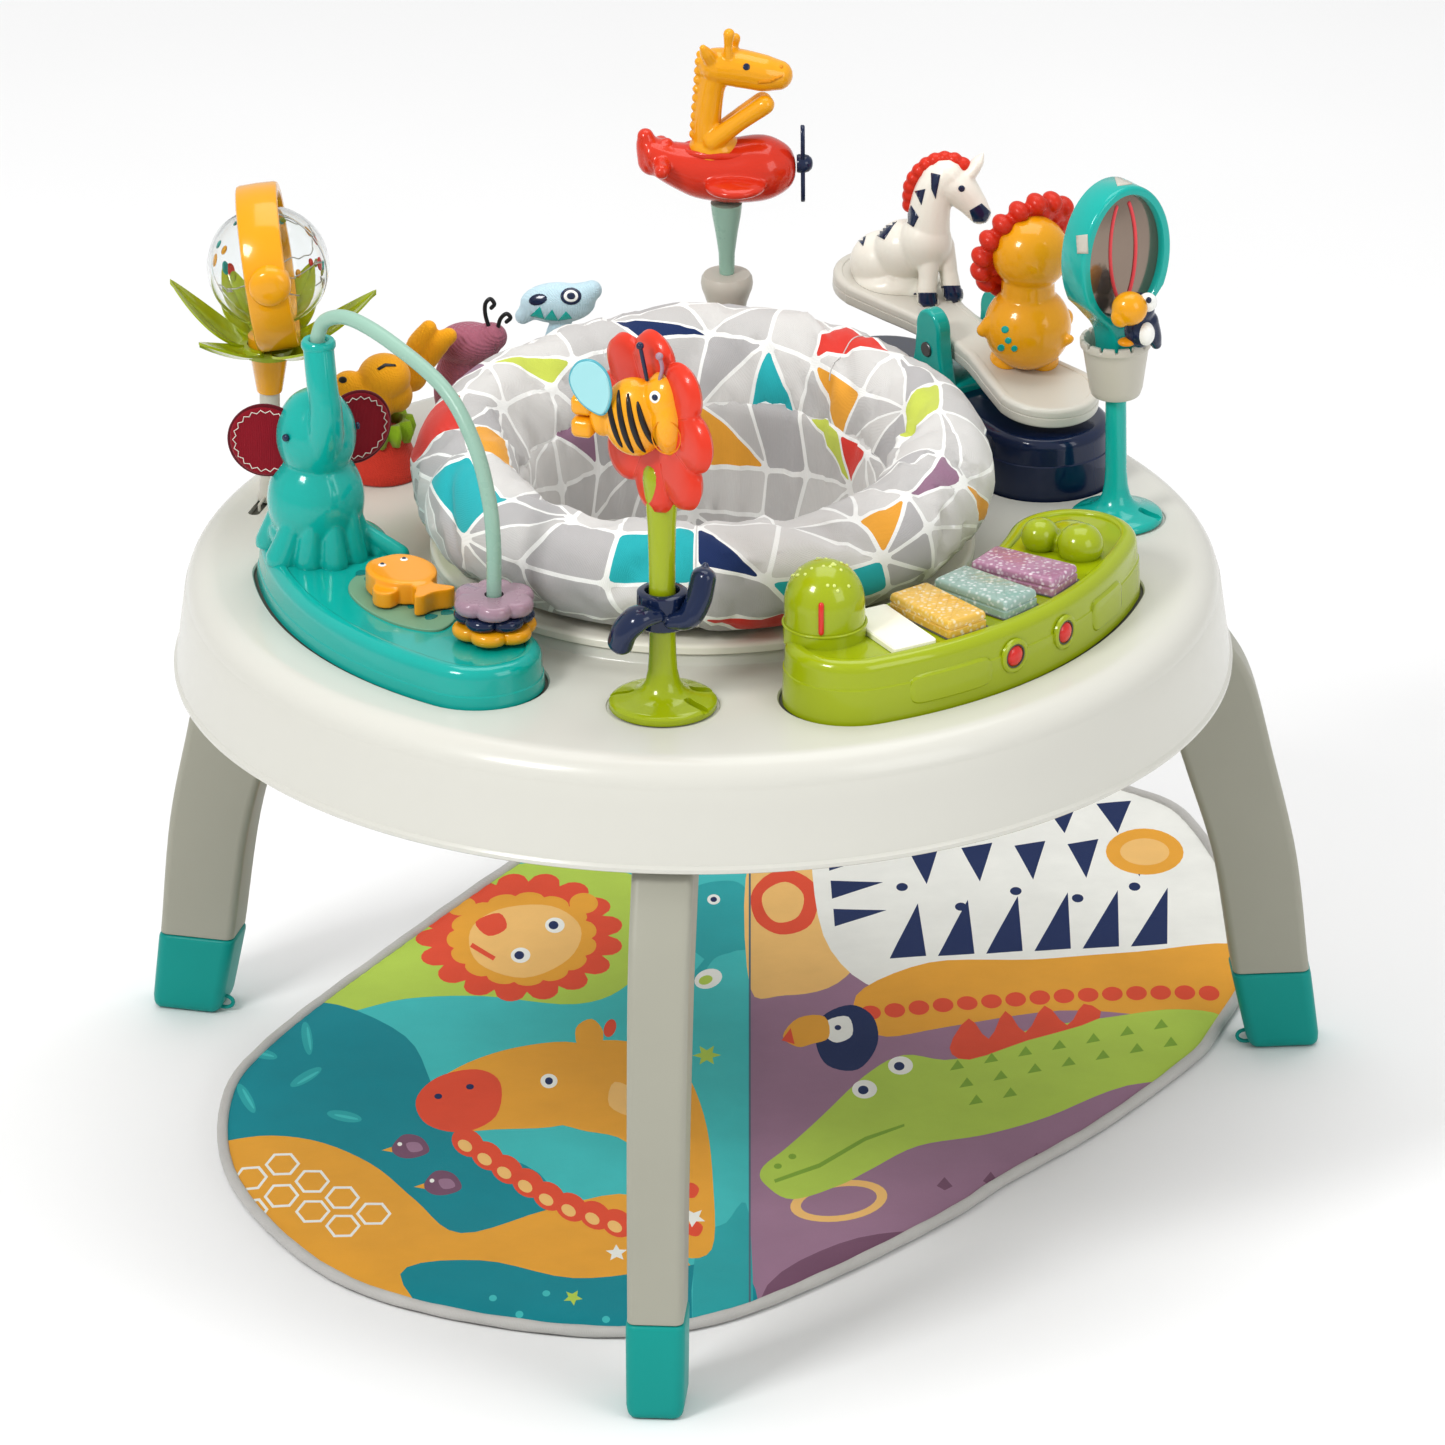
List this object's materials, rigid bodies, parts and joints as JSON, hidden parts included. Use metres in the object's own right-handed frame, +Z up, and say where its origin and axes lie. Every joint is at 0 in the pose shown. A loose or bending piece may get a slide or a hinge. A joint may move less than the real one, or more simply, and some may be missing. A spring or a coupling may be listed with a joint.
{
  "type": "baby activity table",
  "caption": "Round three-legged activity table for a baby: a padded seat that turns in the tray, toys around it that spin, slide, rock and press, and a printed floor mat.",
  "frame": {"origin": "on the floor, on the vertical axis of the round tray and its seat", "axes": "+Z up; -Y towards the front leg; +X to the right seen from the front, with the other legs at about 28 and 148 degrees"},
  "size_m": [0.836, 1.1569, 0.747],
  "materials": {
    "tray_plastic": "satin moulded plastic, fine grain",
    "grey_plastic": "satin moulded plastic",
    "teal_plastic": "gloss moulded plastic",
    "foot_plastic": "satin moulded plastic",
    "lime_plastic": "gloss moulded plastic",
    "yellow_plastic": "gloss moulded plastic",
    "orange_plastic": "gloss moulded plastic",
    "red_plastic": "gloss moulded plastic",
    "navy_plastic": "gloss moulded plastic",
    "mint_plastic": "gloss moulded plastic",
    "white_plastic": "satin moulded plastic",
    "purple_plastic": "gloss moulded plastic",
    "crimson_fabric": "woven fabric, stitched edge",
    "seat_fabric": "printed woven fabric over foam",
    "mat_fabric": "printed woven fabric",
    "binding_fabric": "woven tape",
    "clear_plastic": "clear moulded plastic",
    "key_yellow_plastic": "tinted plastic with glitter",
    "key_green_plastic": "tinted plastic with glitter",
    "key_purple_plastic": "tinted plastic with glitter",
    "lens_plastic": "tinted lens",
    "mirror_film": "mirror-finish plastic",
    "steel": "plain steel pin",
    "board": "coated circuit board",
    "black_plastic": "moulded plastic",
    "plush_blue": "printed plush",
    "plush_mauve": "plush"
  },
  "bodies": {
    "table": {"tray_shell": "tray_plastic", "under_ring": "grey_plastic", "leg_front": "grey_plastic", "leg_left": "grey_plastic", "leg_right": "grey_plastic", "foot_front": "foot_plastic", "foot_left": "foot_plastic", "foot_right": "foot_plastic", "play_mat": "mat_fabric", "mat_binding": "binding_fabric", "elephant_base": "teal_plastic", "elephant_body": "teal_plastic", "elephant_ear_left": "crimson_fabric", "elephant_ear_right": "crimson_fabric", "bead_tube": "mint_plastic", "bee_stalk": "lime_plastic", "flower_head": "red_plastic", "piano_base": "lime_plastic", "piano_panel": "white_plastic", "light_lens_left": "lens_plastic", "light_lens_right": "lens_plastic", "battery_box": "grey_plastic", "circuit_board": "board", "speaker": "black_plastic", "mirror_stalk": "teal_plastic", "mirror_basket": "white_plastic", "seesaw_base": "navy_plastic", "seesaw_bracket": "teal_plastic", "seesaw_pin": "steel", "plane_post": "white_plastic", "plane_stalk": "mint_plastic", "ball_post": "white_plastic", "ball_yoke": "yellow_plastic", "leaf_collar": "lime_plastic", "bud_toy": "orange_plastic", "soft_bug": "plush_mauve", "soft_fish": "plush_blue"},
    "seat": {"seat_ring": "white_plastic", "seat_pad": "seat_fabric", "seat_sling": "seat_fabric"},
    "top_bead": {"flower_bead_purple": "purple_plastic"},
    "middle_bead": {"flower_bead_navy": "navy_plastic"},
    "bottom_bead": {"flower_bead_yellow": "yellow_plastic"},
    "fish": {"fish_slider": "orange_plastic"},
    "spinner": {"leaf_spinner": "navy_plastic"},
    "bee": {"bee_body": "yellow_plastic"},
    "yellow_key": {"key_yellow": "key_yellow_plastic"},
    "green_key": {"key_green": "key_green_plastic"},
    "purple_key": {"key_purple": "key_purple_plastic"},
    "mirror_head": {"mirror_frame": "teal_plastic", "mirror_glass": "mirror_film", "toucan": "navy_plastic"},
    "seesaw": {"seesaw_beam": "grey_plastic", "zebra": "white_plastic", "lion_body": "yellow_plastic", "lion_mane": "red_plastic"},
    "plane": {"plane_body": "red_plastic", "giraffe": "yellow_plastic"},
    "propeller": {"propeller": "navy_plastic"},
    "rattle_ball": {"clear_ball": "clear_plastic"}
  },
  "joints": [
    {"name": "seat_spin", "type": "hinge", "parent": "table", "child": "seat", "pos_m": [0, 0, 0.47], "axis": [0, 0, 1], "continuous": true},
    {"name": "top_bead_slide", "type": "slide", "parent": "table", "child": "top_bead", "axis": [0, 0, 1], "range_m": [0, 0.03]},
    {"name": "middle_bead_spin", "type": "hinge", "parent": "table", "child": "middle_bead", "pos_m": [-0.13404, -0.20485, 0.5012], "axis": [0, 0, 1], "continuous": true},
    {"name": "bottom_bead_spin", "type": "hinge", "parent": "table", "child": "bottom_bead", "pos_m": [-0.13404, -0.20485, 0.4916], "axis": [0, 0, 1], "continuous": true},
    {"name": "fish_slide", "type": "slide", "parent": "table", "child": "fish", "axis": [0.5807, -0.8141, 0], "range_m": [-0.022, 0.018]},
    {"name": "spinner_spin", "type": "hinge", "parent": "table", "child": "spinner", "pos_m": [-0.01287, -0.26033, 0.533], "axis": [0, 0, 1], "continuous": true},
    {"name": "bee_rock", "type": "hinge", "parent": "table", "child": "bee", "pos_m": [-0.01287, -0.26033, 0.679], "axis": [-0.7895, -0.6138, 0], "range_deg": [-60, 60]},
    {"name": "yellow_key_press", "type": "slide", "parent": "table", "child": "yellow_key", "axis": [0, 0, -1], "range_m": [0, 0.004], "stiffness_N_per_m": 200, "springref_m": -0.005},
    {"name": "green_key_press", "type": "slide", "parent": "table", "child": "green_key", "axis": [0, 0, -1], "range_m": [0, 0.004], "stiffness_N_per_m": 200, "springref_m": -0.005},
    {"name": "purple_key_press", "type": "slide", "parent": "table", "child": "purple_key", "axis": [0, 0, -1], "range_m": [0, 0.004], "stiffness_N_per_m": 200, "springref_m": -0.005},
    {"name": "mirror_spin", "type": "hinge", "parent": "table", "child": "mirror_head", "pos_m": [0.28803, 0.08129, 0.6], "axis": [0, 0, 1], "continuous": true},
    {"name": "seesaw_rock", "type": "hinge", "parent": "table", "child": "seesaw", "pos_m": [0.17464, 0.22623, 0.533], "axis": [-0.7673, -0.6412, 0], "range_deg": [0, 14]},
    {"name": "plane_spin", "type": "hinge", "parent": "table", "child": "plane", "pos_m": [0.00195, 0.28182, 0.62], "axis": [0, 0, 1], "continuous": true},
    {"name": "propeller_spin", "type": "hinge", "parent": "plane", "child": "propeller", "pos_m": [0.05631, 0.28562, 0.64], "axis": [0.9976, 0.0698, 0], "continuous": true},
    {"name": "ball_spin", "type": "hinge", "parent": "table", "child": "rattle_ball", "pos_m": [-0.31111, 0.09102, 0.6365], "axis": [0.0698, -0.9976, 0], "continuous": true}
  ]
}
